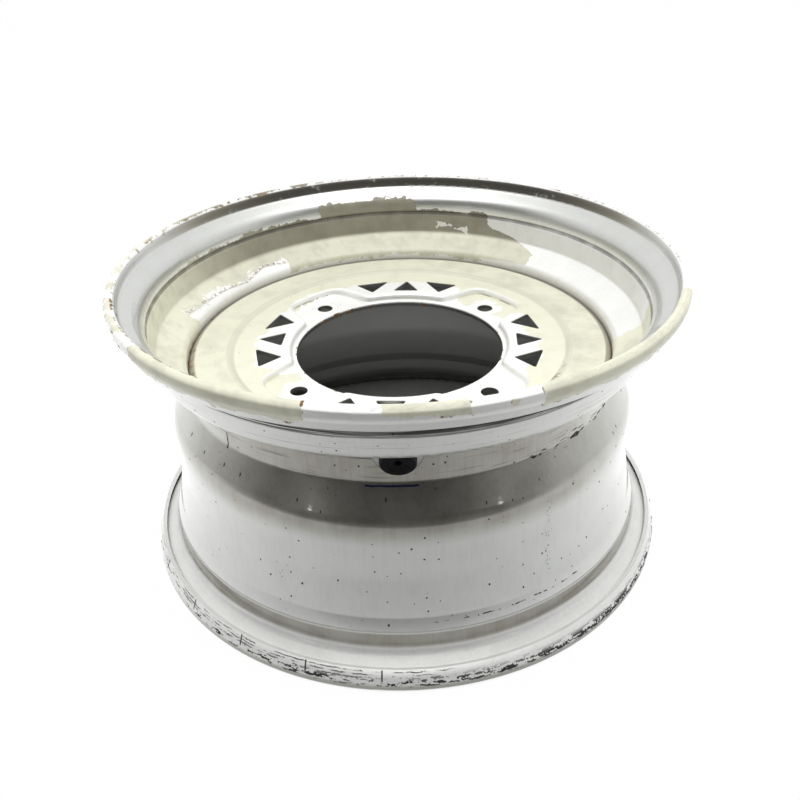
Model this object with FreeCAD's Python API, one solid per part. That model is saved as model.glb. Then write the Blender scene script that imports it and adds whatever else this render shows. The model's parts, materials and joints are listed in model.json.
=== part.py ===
import FreeCAD, Part
import math
import os

from FreeCAD import Vector

# Pressed steel wheel rim for an all-terrain vehicle, with a snap-in tyre valve.
# It lies on its inner flange: the wheel's axis is +Z, the origin is the middle of the floor plane,
# and the dished outer face is up. Sizes are in millimetres, angles in degrees.

# Barrel, one rolled sheet with a folded hem at each lip
rim_height = 180.6         # over both lip crests
lip_radius = 168.5         # outside of the hem
barrel_sheet = 2.4
hem_gap = 1.0              # between the two leaves of the hem at its crest
hem_length = 13.6          # crest to the hem's free edge
hem_tuck = 3.5             # how far the free edge leans in
tuck_depth = 6.0           # crest to where the outer leaf starts to lean
tuck_bend = 5.0
lip_depth = 8.2            # crest to the foot of the hem's inner leaf
lip_bend = 6.0
flange_depth = 15.0        # crest to the corner of flange and bead seat
bead_radius = 153.5        # outside of the bead seat at the flange
bead_bend = 9.0
seat_depth = 39.3          # crest to the inner end of the outer bead seat
seat_fall = 4.6            # how much the outer bead seat narrows along its length
seat_bend = 3.0
groove_depth = 1.1         # rolled groove round the outer bead seat
groove_width = 4.2
groove_place = 24.5        # crest to the middle of the groove
groove_bend = 1.6
well_radius = 133.0        # outside of the drop well
well_depth = 49.1          # crest to the top of the well's wall
well_length = 17.5
well_top_bend = 4.0
well_low_bend = 6.0
barrel_radius = 144.5      # outside of the long inner cylinder
ramp_length = 19.0         # height of the slope between well and cylinder
ramp_bend = 14.0
flare_top = 62.0           # floor to where the cylinder starts to flare
flare_bend = 40.0
hump_radius = 149.6        # outside of the flare at its last bend
hump_height = 36.0
hump_bend = 8.0
low_seat_radius = 152.7    # outside of the inner bead seat at its top
low_seat_top = 28.0
low_seat_bend = 5.0

# Disc, one pressing
disc_sheet = 3.0
disc_drop = 5.9            # top of the well's wall to the face of the web
bore_radius = 65.0
web_radius = 103.2         # flat web with the vents
rise_height = 1.8          # step from the web to the outer ring
rise_length = 3.2
rise_bend = 2.5
shoulder_bend = 3.0
skirt_below = 3.0          # how far the skirt reaches below the well's wall
pad_drop = 4.7             # web to the sunk ring and bolt pads
ring_radius = 67.8         # wall of the sunk ring round the bore
pad_radius = 93.2          # outer wall of a bolt pad, from the wheel's axis
pad_wide = 51.8            # width of a bolt pad at the sunk ring
pad_narrow = 40.0          # width of a bolt pad at its outer wall
pad_corner = 10.0
pad_root = 6.0
pad_crest = 2.8
pad_foot = 1.6
bolt_circle = 156.0
bolt_count = 4
bolt_hole = 10.4
coin_width = 17.8          # pressed ring round each bolt hole
coin_depth = 0.5
vent_inner = 74.0          # radius of the vents' inner ends
vent_outer = 90.0          # radius of the vents' outer ends
vent_base_angle = 6.9      # half the middle vent's base
vent_near_angle = 8.4      # near corner of a side vent
vent_tip_angle = 18.2      # inner tip of a side vent
vent_far_angle = 23.6      # far corner of a side vent
vent_corner = 1.0

# Weld bead between skirt and barrel
weld_throat = 3.4
weld_bend = 3.0

# Tyre valve, on a pressed flat in the corner of the well
valve_angle = 273.4
valve_tilt = 18.0          # the base faces outwards and this much down
valve_drop = 0.3           # top of the well's wall to the middle of the flat
valve_hole = 11.5
flat_proud = 0.6           # lower edge of the flat over the well's wall
flat_margin = 1.1          # flat beyond the rubber base
flat_bend = 2.4
base_width = 18.6
base_thickness = 3.4
base_bend = 1.3
recess_width = 12.4        # dish in the middle of the base
recess_floor = 5.6
recess_depth = 1.2
foot_cover = 0.6           # rubber over the stem's foot
bulge_width = 14.0         # lip that snaps through the hole
bulge_length = 3.4
rubber_tip = 9.8
rubber_length = 15.0       # flat to the end of the rubber
stem_length = 23.0         # flat to the tip of the brass stem
stem_thread = 7.7
stem_shank = 5.8
stem_foot = 9.4
stem_foot_thickness = 1.4
stem_bore = 4.0
stem_chamfer = 0.6

# Valve core, in the tip of the stem
core_bore = 5.3
core_depth = 10.0          # stem tip to the ledge that the gasket sits on
plug_sunk = 1.2
plug_length = 5.5
gasket_length = 2.0
sleeve_width = 3.5
sleeve_bore = 2.3
sleeve_length = 10.3
sleeve_foot = 1.0          # thickness of the sleeve's closed end
pin_width = 1.1
pin_guide = 0.2            # clearance round the pin
pin_sunk = 0.6             # stem tip to the end of the pin
pin_head_width = 2.0
pin_head_length = 0.6
pin_collar_width = 1.9
pin_collar_length = 1.0
seal_width = 3.2
seal_length = 1.5
seal_gap = 0.05            # seal to sleeve, with the pin at rest
spring_wire = 0.36
spring_turns = 7
spring_length = 7.2

UP = Vector(0, 0, 1)
ORIGIN = Vector(0, 0, 0)
SAME_PLACE = 1e-4          # points nearer than this are one
SEAM_MARGIN = 1.0          # degrees kept clear of the seam of a round wall

# Places that several pieces share
barrel_half = barrel_sheet / 2
well_middle = well_radius - barrel_half
well_inside = well_radius - barrel_sheet
well_top = rim_height - well_depth
well_foot = well_top - well_length
ramp_foot = well_foot - ramp_length
seat_end_radius = bead_radius - barrel_half - seat_fall
web_top = well_top - disc_drop
pad_top = web_top - pad_drop
skirt_end = well_foot - skirt_below
flat_radius = base_width / 2 + flat_margin


def corner_arc(before, at, after, bend):
    """Start, middle and end of the arc that rounds the corner at a point."""
    into = (at - before).normalize()
    out = (after - at).normalize()
    turn = into.getAngle(out)
    reach = bend * math.tan(turn / 2)
    if reach < SAME_PLACE:
        return at, at, at
    inwards = (out - into).normalize()
    middle = at + inwards * (bend / math.cos(turn / 2) - bend)
    return at - into * reach, middle, at + out * reach


def rounded_face(corners):
    """Flat face inside straight runs whose corners (x, y, bend) are rounded."""
    places = [Vector(x, y, 0) for x, y, bend in corners]
    count = len(corners)
    arcs = []
    for i, (x, y, bend) in enumerate(corners):
        arcs.append(corner_arc(places[i - 1], places[i], places[(i + 1) % count], bend))
    edges = []
    for i in range(count):
        start, middle, end = arcs[i]
        run_start = arcs[i - 1][2]
        if run_start.distanceToPoint(start) > SAME_PLACE:
            edges.append(Part.LineSegment(run_start, start).toShape())
        if start.distanceToPoint(end) > SAME_PLACE:
            edges.append(Part.Arc(start, middle, end).toShape())
    return Part.Face(Part.Wire(edges))


def strip_face(path, sheet):
    """Section of a bent sheet along its middle line, given as (x, y, bend)."""
    half = sheet / 2
    places = [Vector(x, y, 0) for x, y, bend in path]
    runs = [(b - a).normalize() for a, b in zip(places, places[1:])]
    left = []
    right = []
    for i, (x, y, bend) in enumerate(path):
        into = runs[max(i - 1, 0)]
        out = runs[min(i, len(runs) - 1)]
        turn = math.atan2(into.x * out.y - into.y * out.x, into.dot(out))
        along = (into + out).normalize()
        aside = Vector(-along.y, along.x, 0) * (half / math.cos(turn / 2))
        tighter = math.copysign(half, turn) if bend else 0
        left.append((x + aside.x, y + aside.y, bend - tighter))
        right.append((x - aside.x, y - aside.y, bend + tighter))
    return rounded_face(left + right[::-1])


def turned(section):
    """Solid of a section drawn as (radius, height), turned round the Z axis."""
    upright = section.copy()
    upright.rotate(ORIGIN, Vector(1, 0, 0), 90)
    return upright.revolve(ORIGIN, UP, 360)


def ring(inner, outer, low, high):
    """Plain turned ring between two radii and two heights."""
    return turned(rounded_face([(inner, low, 0), (outer, low, 0), (outer, high, 0), (inner, high, 0)]))


def polar(radius, angle):
    return Vector(radius * math.cos(math.radians(angle)), radius * math.sin(math.radians(angle)), 0)


def around(shape, count):
    """Copies of a shape, evenly spaced round the wheel's axis."""
    copies = []
    for i in range(count):
        copy = shape.copy()
        copy.rotate(ORIGIN, UP, i * 360 / count)
        copies.append(copy)
    return copies


def valve_place():
    """Placement whose Z axis runs from the flat into the dish, along the stem."""
    tilt = math.radians(valve_tilt)
    radius = well_radius + flat_proud + flat_radius * math.sin(tilt)
    middle = polar(radius, valve_angle) + UP * (well_top - valve_drop)
    inwards = polar(-math.cos(tilt), valve_angle) + UP * math.sin(tilt)
    return FreeCAD.Placement(middle, FreeCAD.Rotation(UP, inwards))


def at_valve(shape):
    placed = shape.copy()
    placed.Placement = valve_place().multiply(shape.Placement)
    return placed


def flange_path():
    """Middle line of a flange as (radius, distance from the crest, bend), from the hem's free edge."""
    outer_leaf = lip_radius - barrel_half
    inner_leaf = outer_leaf - barrel_sheet - hem_gap
    hem_bend = (outer_leaf - inner_leaf) / 2
    return [
        (outer_leaf - hem_tuck, hem_length, 0),
        (outer_leaf, tuck_depth, tuck_bend),
        (outer_leaf, barrel_half, hem_bend),
        (inner_leaf, barrel_half, hem_bend),
        (inner_leaf, lip_depth, lip_bend),
        (bead_radius - barrel_half, flange_depth, bead_bend),
    ]


def outer_seat_path():
    """Outer bead seat with its rolled groove, down to the corner of the shelf."""
    fall = seat_fall / (seat_depth - flange_depth)

    def seat_radius(depth):
        return bead_radius - barrel_half - fall * (depth - flange_depth)

    above = groove_place - groove_width / 2
    below = groove_place + groove_width / 2
    return [
        (seat_radius(above), rim_height - above, groove_bend),
        (seat_radius(groove_place) + groove_depth, rim_height - groove_place, groove_bend),
        (seat_radius(below), rim_height - below, groove_bend),
        (seat_end_radius, rim_height - seat_depth, seat_bend),
    ]


def barrel_path():
    outer_flange = [(radius, rim_height - depth, bend) for radius, depth, bend in flange_path()]
    inner_flange = flange_path()[::-1]
    middle = [
        (well_middle, well_top, well_top_bend),
        (well_middle, well_foot, well_low_bend),
        (barrel_radius - barrel_half, ramp_foot, ramp_bend),
        (barrel_radius - barrel_half, flare_top, flare_bend),
        (hump_radius - barrel_half, hump_height, hump_bend),
        (low_seat_radius - barrel_half, low_seat_top, low_seat_bend),
    ]
    return outer_flange + outer_seat_path() + middle + inner_flange


def inside_of_well():
    """Space on the dish side of the well's middle line, which the pressed flat bulges into."""
    return turned(rounded_face([
        (0, well_foot, 0),
        (well_middle, well_foot, 0),
        (well_middle, well_top, 0),
        (seat_end_radius, rim_height - seat_depth, 0),
        (seat_end_radius, rim_height, 0),
        (0, rim_height, 0),
    ]))


def pressed_flat():
    """Plate of the pressed flat with the walls that carry it, on both sides of the well's sheet."""
    reach = bead_radius - well_radius
    outer = flat_radius + barrel_sheet
    raised = turned(rounded_face([
        (0, -reach / 2, 0),
        (outer, -reach / 2, 0),
        (outer, barrel_sheet, flat_bend),
        (0, barrel_sheet, 0),
    ]))
    lowered = turned(rounded_face([
        (0, 0, 0),
        (outer, 0, flat_bend),
        (outer, reach, 0),
        (0, reach, 0),
    ]))
    dish_side = inside_of_well()
    return [at_valve(raised).common(dish_side), at_valve(lowered).cut(dish_side)]


def flat_hollows():
    """Room for the valve's base and body on the two sides of the pressed flat, and its hole."""
    reach = bead_radius - well_radius
    base_side = Part.makeCylinder(flat_radius, reach, Vector(0, 0, -reach))
    dish_side = Part.makeCylinder(flat_radius, reach, Vector(0, 0, barrel_sheet))
    hole = Part.makeCylinder(valve_hole / 2, reach, Vector(0, 0, -reach / 2))
    return [at_valve(cut) for cut in (base_side, dish_side, hole)]


def rim_barrel():
    barrel = turned(strip_face(barrel_path(), barrel_sheet))
    return barrel.fuse(pressed_flat()).cut(flat_hollows()).removeSplitter()


def pad_block(grow, low, high):
    """Sunk ring and bolt pads as one upright block, its outline grown by a wall."""
    height = high - low
    block = Part.makeCylinder(ring_radius + grow, height)
    inner = math.sqrt(ring_radius ** 2 - (pad_wide / 2) ** 2)
    outer = math.sqrt(pad_radius ** 2 - (pad_narrow / 2) ** 2)
    lean = math.atan2((pad_wide - pad_narrow) / 2, outer - inner)
    widen = grow / math.cos(lean)

    def half_width(along):
        return pad_narrow / 2 + (outer - along) * math.tan(lean) + widen

    far = pad_radius + grow
    near = inner / 2
    pad = rounded_face([
        (near, -half_width(near), 0),
        (far, -half_width(far), 0),
        (far, half_width(far), 0),
        (near, half_width(near), 0),
    ]).extrude(UP * height)
    pad = pad.common(Part.makeCylinder(pad_radius + grow, height))
    pad.rotate(ORIGIN, UP, 180 / bolt_count)
    block = block.fuse(around(pad, bolt_count)).removeSplitter()
    split = (ring_radius + pad_radius) / 2 + grow
    block = block.makeFillet(pad_corner + grow, upright_edges(block, split, 2 * far))
    block = block.makeFillet(pad_root - grow, upright_edges(block, near, split))
    block.translate(UP * low)
    return block


def upright_edges(block, inner, outer):
    """Upright edges of a pad block between two radii, without the seam of its round wall."""
    spacing = 360 / bolt_count
    found = []
    for edge in block.Edges:
        start = edge.Vertexes[0].Point
        end = edge.Vertexes[-1].Point
        angle = math.degrees(math.atan2(start.y, start.x)) % spacing
        upright = math.hypot(end.x - start.x, end.y - start.y) < SAME_PLACE < abs(end.z - start.z)
        off_seam = SEAM_MARGIN < angle < spacing - SEAM_MARGIN
        if upright and off_seam and inner < math.hypot(start.x, start.y) < outer:
            found.append(edge)
    return found


def edges_at(shape, height, radius):
    """Edges of a shape that lie flat at a height, within a radius of the wheel's axis."""
    found = []
    for edge in shape.Edges:
        points = edge.discretize(5)
        level = all(abs(p.z - height) < SAME_PLACE for p in points)
        if level and all(math.hypot(p.x, p.y) < radius for p in points):
            found.append(edge)
    return found


def vent_outlines():
    """The three vents of one group, about the X axis, as lists of (radius, angle)."""
    middle = [(vent_inner, -vent_base_angle), (vent_outer, 0), (vent_inner, vent_base_angle)]
    side = [(vent_inner, vent_tip_angle), (vent_outer, vent_near_angle), (vent_outer, vent_far_angle)]
    other = [(radius, -angle) for radius, angle in side[::-1]]
    return [middle, side, other]


def vents():
    height = 2 * disc_sheet
    cuts = []
    for outline in vent_outlines():
        corners = [polar(radius, angle) for radius, angle in outline]
        vent = rounded_face([(p.x, p.y, vent_corner) for p in corners]).extrude(UP * height)
        vent.translate(UP * (web_top - disc_sheet - height / 4))
        cuts += around(vent, bolt_count)
    return cuts


def bolt_holes():
    depth = 2 * disc_sheet
    hole = Part.makeCylinder(bolt_hole / 2, 2 * depth, Vector(0, 0, -depth))
    coin = Part.makeCone(coin_width / 2 - coin_depth, coin_width / 2, coin_depth, Vector(0, 0, -coin_depth))
    seat = hole.fuse(coin)
    seat.translate(polar(bolt_circle / 2, 180 / bolt_count) + UP * pad_top)
    return around(seat, bolt_count)


def wheel_disc():
    level = web_top - disc_sheet / 2
    skirt_middle = well_inside - disc_sheet / 2
    sheet = turned(strip_face([
        (bore_radius / 2, level, 0),
        (web_radius, level, rise_bend),
        (web_radius + rise_length, level + rise_height, rise_bend),
        (skirt_middle, level + rise_height, shoulder_bend),
        (skirt_middle, skirt_end, 0),
    ], disc_sheet))
    under = pad_block(disc_sheet, pad_top - disc_sheet, level)
    under = under.makeFillet(disc_sheet - pad_foot / 2, edges_at(under, pad_top - disc_sheet, lip_radius))
    sunk = pad_block(0, pad_top, web_top + disc_sheet)
    sunk = sunk.makeFillet(pad_foot, edges_at(sunk, pad_top, lip_radius))
    disc = sheet.fuse(under).cut(sunk).removeSplitter()
    disc = disc.makeFillet(pad_crest, edges_at(disc, web_top, pad_radius + disc_sheet))
    bore = Part.makeCylinder(bore_radius, rim_height)
    return disc.cut([bore] + vents() + bolt_holes()).removeSplitter()


def disc_weld(barrel, disc):
    lean = (barrel_radius - well_radius) / ramp_length
    toe = skirt_end - weld_throat
    bead = turned(rounded_face([
        (well_inside - disc_sheet / 2, skirt_end, 0),
        (well_inside, skirt_end, 0),
        (well_inside, well_foot, 0),
        (well_middle, well_foot, 0),
        (well_middle + lean * (well_foot - toe), toe, 0),
        (well_inside, toe, weld_bend),
    ]))
    return bead.cut([barrel, disc])


def stem_solid():
    """Brass stem without its bore, along the valve's own axis."""
    foot_low = recess_depth + foot_cover - base_thickness
    foot_high = foot_low + stem_foot_thickness
    return turned(rounded_face([
        (0, foot_low, 0),
        (stem_foot / 2, foot_low, 0),
        (stem_foot / 2, foot_high, 0),
        (stem_shank / 2, foot_high, 0),
        (stem_shank / 2, rubber_length, 0),
        (stem_thread / 2, rubber_length, 0),
        (stem_thread / 2, stem_length - stem_chamfer, 0),
        (stem_thread / 2 - stem_chamfer, stem_length, 0),
        (0, stem_length, 0),
    ]))


def valve_stem():
    ledge = stem_length - core_depth
    bore = Part.makeCylinder(stem_bore / 2, ledge + base_thickness, Vector(0, 0, -base_thickness))
    wide = Part.makeCylinder(core_bore / 2, core_depth, Vector(0, 0, ledge))
    return stem_solid().cut([bore, wide])


def valve_body():
    """Rubber with a dished base, moulded round the stem."""
    base = base_width / 2
    hole = valve_hole / 2
    rubber = turned(rounded_face([
        (0, recess_depth - base_thickness, 0),
        (recess_floor / 2, recess_depth - base_thickness, 0),
        (recess_width / 2, -base_thickness, 0),
        (base, -base_thickness, base_bend),
        (base, 0, 0),
        (hole, 0, 0),
        (hole, barrel_sheet, 0),
        (bulge_width / 2, barrel_sheet, base_bend / 2),
        (rubber_tip / 2 + base_bend / 2, barrel_sheet + bulge_length, base_bend),
        (rubber_tip / 2, rubber_length, base_bend / 2),
        (0, rubber_length, 0),
    ]))
    air_hole = Part.makeCylinder(stem_bore / 2, base_thickness, Vector(0, 0, -base_thickness))
    return rubber.cut([stem_solid(), air_hole])


def core_pieces():
    """Pieces of the valve core along the valve's own axis, by node name."""
    ledge = stem_length - core_depth
    plug_high = stem_length - plug_sunk
    plug_low = plug_high - plug_length
    sleeve_low = plug_low - sleeve_length
    guide = pin_width / 2 + pin_guide
    spring_low = sleeve_low + sleeve_foot
    spring_high = spring_low + spring_length
    seal_high = sleeve_low - seal_gap
    seal_low = seal_high - seal_length
    pin = pin_width / 2
    plug = ring(guide, core_bore / 2, plug_low, plug_high)
    gasket = ring(sleeve_width / 2, core_bore / 2, ledge, ledge + gasket_length)
    sleeve = ring(sleeve_bore / 2, sleeve_width / 2, sleeve_low, plug_low)
    foot = ring(guide, sleeve_width / 2, sleeve_low, spring_low)
    shaft = turned(rounded_face([
        (0, seal_low - pin_head_length, 0),
        (pin_head_width / 2, seal_low - pin_head_length, 0),
        (pin_head_width / 2, seal_low, 0),
        (pin, seal_low, 0),
        (pin, spring_high, 0),
        (pin_collar_width / 2, spring_high, 0),
        (pin_collar_width / 2, spring_high + pin_collar_length, 0),
        (pin, spring_high + pin_collar_length, 0),
        (pin, stem_length - pin_sunk, 0),
        (0, stem_length - pin_sunk, 0),
    ]))
    seal = ring(pin, seal_width / 2, seal_low, seal_high)
    coil_radius = (pin + sleeve_bore / 2) / 2
    coil_height = spring_length - spring_wire
    coil = Part.makeHelix(coil_height / spring_turns, coil_height, coil_radius)
    wire = Part.makeCircle(spring_wire / 2, Vector(coil_radius, 0, 0), Vector(0, 1, 0))
    spring = Part.Wire(coil.Edges).makePipeShell([Part.Wire(wire)], True, True)
    spring.translate(UP * (spring_low + spring_wire / 2))
    return {
        "core_plug": plug,
        "core_gasket": gasket,
        "core_barrel": sleeve.fuse(foot).removeSplitter(),
        "core_pin": shaft,
        "core_seal": seal,
        "core_spring": spring,
    }


def pieces():
    barrel = rim_barrel()
    disc = wheel_disc()
    nodes = {
        "rim_barrel": barrel,
        "wheel_disc": disc,
        "disc_weld": disc_weld(barrel, disc),
        "valve_body": at_valve(valve_body()),
        "valve_stem": at_valve(valve_stem()),
    }
    for name, shape in core_pieces().items():
        nodes[name] = at_valve(shape)
    return nodes


os.makedirs("parts", exist_ok=True)
for node, shape in pieces().items():
    shape.exportStep("parts/" + node + ".step")
    box = shape.optimalBoundingBox(False)
    print(node, "solids", len(shape.Solids), "valid", shape.isValid(), "volume %.1f" % shape.Volume,
          "z %.2f to %.2f" % (box.ZMin, box.ZMax))
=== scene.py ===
import json
import math
from collections import namedtuple

import bmesh
import bpy
from mathutils import Matrix, Vector


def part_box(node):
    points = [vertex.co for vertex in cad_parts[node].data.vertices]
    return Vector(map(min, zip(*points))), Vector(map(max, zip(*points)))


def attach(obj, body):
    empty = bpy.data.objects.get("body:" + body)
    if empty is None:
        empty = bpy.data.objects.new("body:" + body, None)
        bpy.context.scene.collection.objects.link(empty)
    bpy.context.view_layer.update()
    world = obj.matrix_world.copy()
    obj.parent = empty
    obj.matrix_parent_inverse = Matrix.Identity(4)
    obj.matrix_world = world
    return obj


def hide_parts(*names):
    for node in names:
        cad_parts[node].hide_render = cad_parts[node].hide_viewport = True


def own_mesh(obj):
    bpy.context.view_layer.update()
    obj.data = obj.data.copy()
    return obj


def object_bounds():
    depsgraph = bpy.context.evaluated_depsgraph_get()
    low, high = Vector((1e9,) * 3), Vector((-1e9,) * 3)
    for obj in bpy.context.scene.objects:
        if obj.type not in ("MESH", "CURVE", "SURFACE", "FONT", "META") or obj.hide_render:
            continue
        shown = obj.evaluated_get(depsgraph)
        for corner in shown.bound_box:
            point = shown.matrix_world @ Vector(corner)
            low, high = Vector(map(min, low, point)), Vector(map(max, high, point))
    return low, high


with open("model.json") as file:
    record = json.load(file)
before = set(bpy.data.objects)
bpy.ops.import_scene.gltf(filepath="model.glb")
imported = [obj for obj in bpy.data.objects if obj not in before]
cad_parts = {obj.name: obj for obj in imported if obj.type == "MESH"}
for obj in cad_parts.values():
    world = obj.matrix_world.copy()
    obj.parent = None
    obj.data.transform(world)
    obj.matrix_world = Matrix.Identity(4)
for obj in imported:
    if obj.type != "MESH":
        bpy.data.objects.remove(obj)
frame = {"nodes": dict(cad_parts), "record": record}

bl_info = {
    "name": "Worn all-terrain wheel rim",
    "version": (1, 0, 0),
    "blender": (4, 5, 0),
    "location": "3D View > Sidebar > Wheel rim",
    "description": "Paint, wear, weld bead, valve and stage of a pressed steel wheel rim",
    "category": "Object",
}

CAD_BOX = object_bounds()
MM = 0.001

# Places on the rim, in millimetres and degrees. Angles run from +X towards +Y.
CREST = CAD_BOX[1].z / MM
WEB = 125.6                # face of the disc's flat web
PAD = 120.9                # floor of the sunk bolt pads
BOLT_RADIUS = 78.0
BOLT_ANGLES = (45, 135, 225, 315)
BORE = 65.0
DISC_STEP = 105.4          # radius of the disc's step
HEM_EDGE = 166.6           # free edge of the upper hem
HEM_INSIDE = 162.7         # inside of the upper lip
GROOVE = 156.1             # rolled groove round the outer seat
LOW_SEAT_TOP = 28.6        # bend over the lower seat
LIP_BEND = 173.0           # height over which the upper lip rounds off
HEM_BEND = 6.0             # the same on the lower hem
DISC_EDGE = 126.0          # height where the disc meets the well's wall
THREAD_MIDDLE = 18.7       # from the valve's flat to the middle of its thread
PIN_TRAVEL = 1.5           # of the valve core's pin, which presses the spring
TYRE_SIDE_RADIUS = 150.0   # turns angles into millimetres along the tyre side

# Bands of the barrel by height: where they begin, are full, begin to fade and end
LOW_HEM = (3.5, 5.5, 13.8, 14.2)
LOW_EDGE = (3, 8, 15, 42)
LOW_SEAT = (17, 19.5, 26.5, 28.5)
# The well's band is darkened as painted shade
WELL_SHADE = (79, 93, 128, 142)
OUTER_SEAT = (141, 145, 158, 162)
PITTED = (29, 32, 158, 160)
SCORED = (112, 114, 160, 162)

# Middle of the barrel's sheet as (height, radius)
SHEET_MIDDLE = [
    (0, 165.6), (4.8, 163.9), (9.9, 160.9), (13.1, 155.6), (18.8, 152.1), (28.0, 151.5),
    (36.0, 148.4), (62.0, 143.3), (91.0, 143.3), (98.8, 141.0), (114.0, 131.8), (131.5, 131.8),
    (141.3, 147.7), (161.8, 151.6), (167.5, 155.6), (170.7, 160.9), (175.8, 163.9), (CREST, 165.6),
]
# Middle of the lower hem's outer leaf, which leans in towards its free edge
LEAF_MIDDLE = [(0, 167.3), (6.0, 167.3), (13.6, 163.8), (16.0, 163.8)]

# A stretch of the rim: its middle angle, how far it reaches each way, and its lower and upper height
Stretch = namedtuple("Stretch", "angle reach low high")

# Where the cream coat is left on the lip, and on the ledge behind it
LIP_COAT = [
    Stretch(241.0, 18.6, 170.0, 190),
    Stretch(277.9, 6.6, 175.2, 190),
    Stretch(291.9, 0.9, 175.0, 179.5),
    Stretch(320.0, 23.6, 171.0, 190),
    Stretch(168.0, 52.0, 180.2, 190),
]
LEDGE_COAT = [
    Stretch(102.5, 14.0, 155, 166.4),
    Stretch(137.5, 3.2, 155, 160.4),
]
# Where it has flaked off the seat
SEAT_CHIPS = [
    Stretch(79.4, 2.2, 146.4, 148.8),
    Stretch(75.2, 1.8, 144.4, 146.2),
]
WALL_COAT_TOP = 158.4
WELL_COAT_FOOT = 129.4
WELL_FOOT_FROM = 40        # angles between which it is off the foot of the well's wall
WELL_FOOT_TO = 176
# The flaked stretch on the shelf: its two ends, and its upper edge by angle
SHELF_CHIP_FROM = 131.0
SHELF_CHIP_TO = 175.0
SHELF_CHIP_TOP = [
    (131, 136.6), (138.6, 136.1), (147.5, 134.7), (155, 136.0), (164, 136.6), (170, 137.2), (175, 138.1),
]
# The bare silver stretch on the right, from one angle to another that depends on the height
BARE_FROM = -5.0
BARE_TO = [
    (128.0, 62.0), (131.0, 57.0), (132.6, 50.0), (138.0, 49.5), (141.9, 55.8), (145.2, 59.3),
    (148.5, 65.8), (152.0, 67.0), (158.0, 67.0),
]
# Radius where the disc's cream coat starts, by angle
DISC_COAT_START = [
    (-180, 88.9), (-169.6, 89.1), (-157, 91), (-153, 85), (-150, 71), (-141, 70), (-138.5, 88), (-135, 93),
    (-120, 95), (-60, 95), (-31.8, 90), (-25.6, 83.6), (-19.3, 90.3), (-9.3, 89.5), (-6.8, 82), (0, 89.6),
    (7, 80), (13, 77), (24.7, 90), (28, 73), (60, 72), (63, 84), (68, 88.5), (112, 88.5), (126, 93.4),
    (144.6, 92.4), (155, 88.7), (170, 88.2), (174.4, 85), (180, 88.9),
]
# How thick the scuffs lie on the lower hem, by angle
SCUFFED = [
    (-180, -0.04), (-140, 0.1), (-105, 0.09), (-92, 0.03), (-73, 0.14), (-27, 0.14), (-10, 0.03), (20, -0.04),
    (180, -0.04),
]
LEAF_LINES = (12.6, 10.9, 9.4)      # heights of the thin lines along the lower hem
LEAF_LINE_REACH = Stretch(238, 46, -50, 80)
TICKS = Stretch(240, 36, 7, 14)     # cross ticks on the lower hem
TICK_ANGLE = -149.7
TICK_HALF_SPACING = 7.35

# Single marks in the places where the photo has them
CREST_RUST = Stretch(218, 24, 178.4, 182)
CHIP_RUST = Stretch(259.6, 0.3, 179.5, 190)
CREASE_RUST = Stretch(180, 22, 100, 140)
BORE_RUST = Stretch(136, 14, 100, 130)
STEP_RUST = Stretch(-25, 7, 100, 130)
EDGE_RUST = Stretch(182, 24, 100, 140)
NICKS = Stretch(211, 12, 170, 179.6)
CRACK = Stretch(229.4, 0.22, 112.4, 122.5)
SEAM = Stretch(297, 18, 20, 50)
SEAM_HEIGHT = 33.3
DOTS = Stretch(306.2, 0.8, 42, 93)
SCRAPE = Stretch(319, 15, 112.4, 117)
PEN_LINE = Stretch(271.8, 6.0, 100, 120)
PEN_HEIGHT = 112.7


class WheelRimColours(bpy.types.PropertyGroup):
    """Colours of the paint coats, the dirt and the painted shade, and the valve"""
    silver: bpy.props.FloatVectorProperty(
        name="Silver paint", description="Glossy silver of the tyre side",
        subtype="COLOR", size=3, min=0, max=1, default=(0.64, 0.65, 0.63))
    pale: bpy.props.FloatVectorProperty(
        name="Pale silver", description="Chalky silver where the cream has flaked off the dish and the lip",
        subtype="COLOR", size=3, min=0, max=1, default=(0.94, 0.94, 0.92))
    cream: bpy.props.FloatVectorProperty(
        name="Cream coat", description="Top coat of the dish side",
        subtype="COLOR", size=3, min=0, max=1, default=(0.78, 0.775, 0.62))
    rust: bpy.props.FloatVectorProperty(
        name="Rust", description="Rust in creases and along flaked edges",
        subtype="COLOR", size=3, min=0, max=1, default=(0.20, 0.11, 0.05))
    # Near black of scuffs, nicks and pits; the same colour paints shade on the vents' walls and on the stem's
    # foot inside the rubber
    black_scuff_and_shade: bpy.props.FloatVectorProperty(
        name="Scuffs", description="Black scuffs, nicks and pits",
        subtype="COLOR", size=3, min=0, max=1, default=(0.025, 0.025, 0.024))
    # Brown-grey of dirt; the same colour also paints shade in the well, in the creases, on walls facing the
    # front and on the disc
    grime_and_shade: bpy.props.FloatVectorProperty(
        name="Grime", description="Thin film of dirt in the well and in the creases",
        subtype="COLOR", size=3, min=0, max=1, default=(0.24, 0.22, 0.17))
    ink: bpy.props.FloatVectorProperty(
        name="Ink", description="Pen line under the valve",
        subtype="COLOR", size=3, min=0, max=1, default=(0.02, 0.03, 0.16))
    rubber: bpy.props.FloatVectorProperty(
        name="Rubber", description="Rubber of the valve",
        subtype="COLOR", size=3, min=0, max=1, default=(0.006, 0.0065, 0.008))
    brass: bpy.props.FloatVectorProperty(
        name="Brass", description="Stem and core of the valve",
        subtype="COLOR", size=3, min=0, max=1, default=(0.74, 0.55, 0.26))
    gasket: bpy.props.FloatVectorProperty(
        name="Gasket", description="Sealing ring of the valve core",
        subtype="COLOR", size=3, min=0, max=1, default=(0.55, 0.08, 0.05))
    steel: bpy.props.FloatVectorProperty(
        name="Spring steel", description="Spring of the valve core",
        subtype="COLOR", size=3, min=0, max=1, default=(0.56, 0.56, 0.57))


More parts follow.
